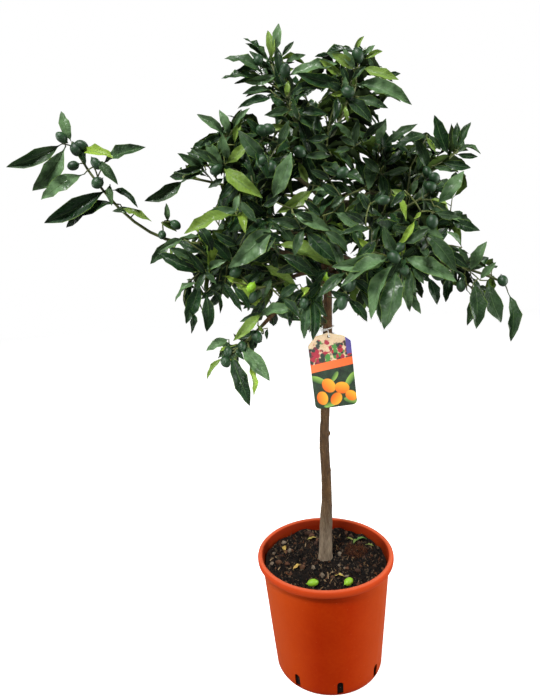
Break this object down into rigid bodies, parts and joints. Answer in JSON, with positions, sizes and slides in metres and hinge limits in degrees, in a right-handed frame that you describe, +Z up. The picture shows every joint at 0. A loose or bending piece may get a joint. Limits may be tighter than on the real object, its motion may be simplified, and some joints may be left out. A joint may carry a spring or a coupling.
{
  "type": "potted citrus tree",
  "caption": "Young citrus tree trained as a standard: slim trunk, domed crown of lance-shaped leaves with small oval fruit and one long side arm, in a round nursery pot.",
  "frame": {"origin": "middle of the flat underside of the pot", "axes": "+Z up along the trunk, -Y towards the side that shows the label, +X to the right of that side"},
  "size_m": [0.8167, 0.5464, 1.21],
  "materials": {
    "pot": "semi-gloss moulded polypropylene, terracotta orange",
    "soil": "moist peat and bark crumbs",
    "bark": "fine-grained brown bark",
    "foliage": "leathery dark green leaves with a sheen, green twigs and green fruit",
    "fruit": "glossy lime green rind",
    "label": "printed plastic sheet, satin",
    "tie": "thin white string"
  },
  "bodies": {
    "root": {"pot": "pot", "soil": "soil", "fallen_fruit_left": "fruit", "fallen_fruit_right": "fruit", "trunk": "bark", "leader": "bark", "bough_far_left": "bark", "bough_left_low": "bark", "bough_low_left": "bark", "bough_front_low": "bark", "bough_front_right": "bark", "bough_right_low": "bark", "bough_right": "bark", "bough_right_up": "bark", "bough_right_front": "bark", "bough_right_high": "bark", "bough_top_right": "bark", "bough_top_left": "bark", "bough_left_high": "bark", "bough_left": "bark", "bough_left_front": "bark", "bough_front_middle": "bark", "bough_front_high": "bark", "bough_top_middle": "bark", "bough_left_back": "bark", "bough_back_low_left": "bark", "bough_back_low_right": "bark", "bough_back_middle": "bark", "bough_back_right": "bark", "bough_back_left": "bark", "bough_back_high": "bark", "bough_front_left": "bark", "label": "label", "label_tie": "tie", "leaves_far_left": "foliage", "leaves_left_low": "foliage", "leaves_low_left": "foliage", "leaves_front_low": "foliage", "leaves_front_right": "foliage", "leaves_right_low": "foliage", "leaves_right": "foliage", "leaves_right_up": "foliage", "leaves_right_front": "foliage", "leaves_right_high": "foliage", "leaves_top_right": "foliage", "leaves_top_left": "foliage", "leaves_left_high": "foliage", "leaves_left": "foliage", "leaves_left_front": "foliage", "leaves_front_middle": "foliage", "leaves_front_high": "foliage", "leaves_top_middle": "foliage", "leaves_left_back": "foliage", "leaves_back_low_left": "foliage", "leaves_back_low_right": "foliage", "leaves_back_middle": "foliage", "leaves_back_right": "foliage", "leaves_back_left": "foliage", "leaves_back_high": "foliage", "leaves_front_left": "foliage"}
  },
  "joints": []
}
